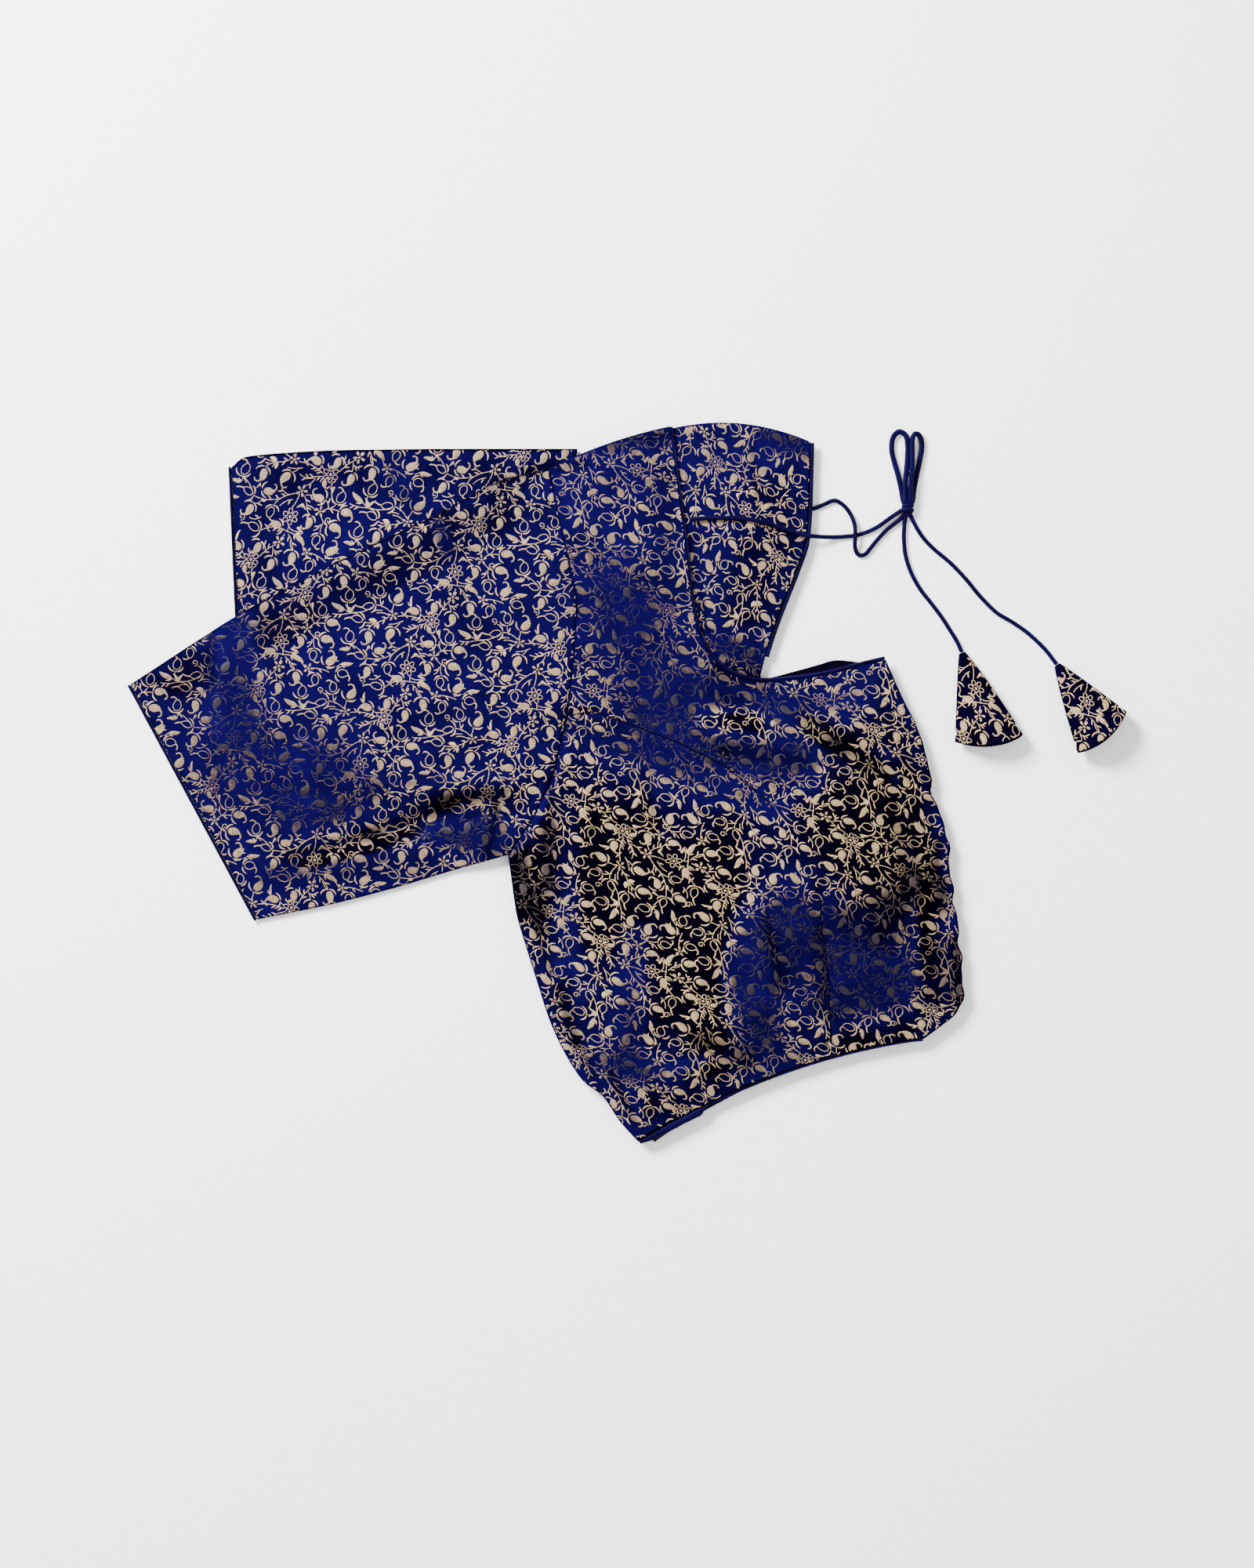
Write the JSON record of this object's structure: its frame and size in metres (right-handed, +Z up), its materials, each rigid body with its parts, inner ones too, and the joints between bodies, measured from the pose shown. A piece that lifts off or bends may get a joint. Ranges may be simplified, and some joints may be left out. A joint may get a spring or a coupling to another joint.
{
  "type": "lined brocade saree blouse, folded in half and laid flat, with back-neck tie cords and tassels",
  "caption": "Short-sleeved lined brocade blouse folded in half lengthwise and laid flat, with piped neck, darts, tied cord bow and two padded cone tassels.",
  "frame": {"origin": "centre of the folded garment in plan, on the surface it lies on; the tie cords and tassels are left out of that centre", "axes": "+X from the sleeves towards the centre front edge, +Y from the hem towards the shoulder, +Z up from the surface"},
  "size_m": [0.547, 0.3951, 0.0187],
  "materials": {
    "brocade": "royal blue satin ground with a pale gold woven vine, satin sheen",
    "plain_satin": "plain royal blue satin, for piping and cords",
    "lining": "plain dark blue matt lining and hidden layers"
  },
  "bodies": {
    "root": {"right_front": "brocade", "left_back": "brocade", "inner_layers": "lining", "right_sleeve": "brocade", "left_sleeve": "brocade", "neck_piping": "plain_satin", "back_piping": "plain_satin", "hem_piping": "plain_satin", "right_cuff_piping": "plain_satin", "left_cuff_piping": "plain_satin", "cord_lead_right": "plain_satin", "cord_lead_left": "plain_satin", "bow_loop_left": "plain_satin", "bow_loop_right": "plain_satin", "cord_tail_left": "plain_satin", "cord_tail_right": "plain_satin", "bow_knot": "plain_satin", "tassel_left": "brocade", "tassel_right": "brocade"}
  },
  "joints": []
}
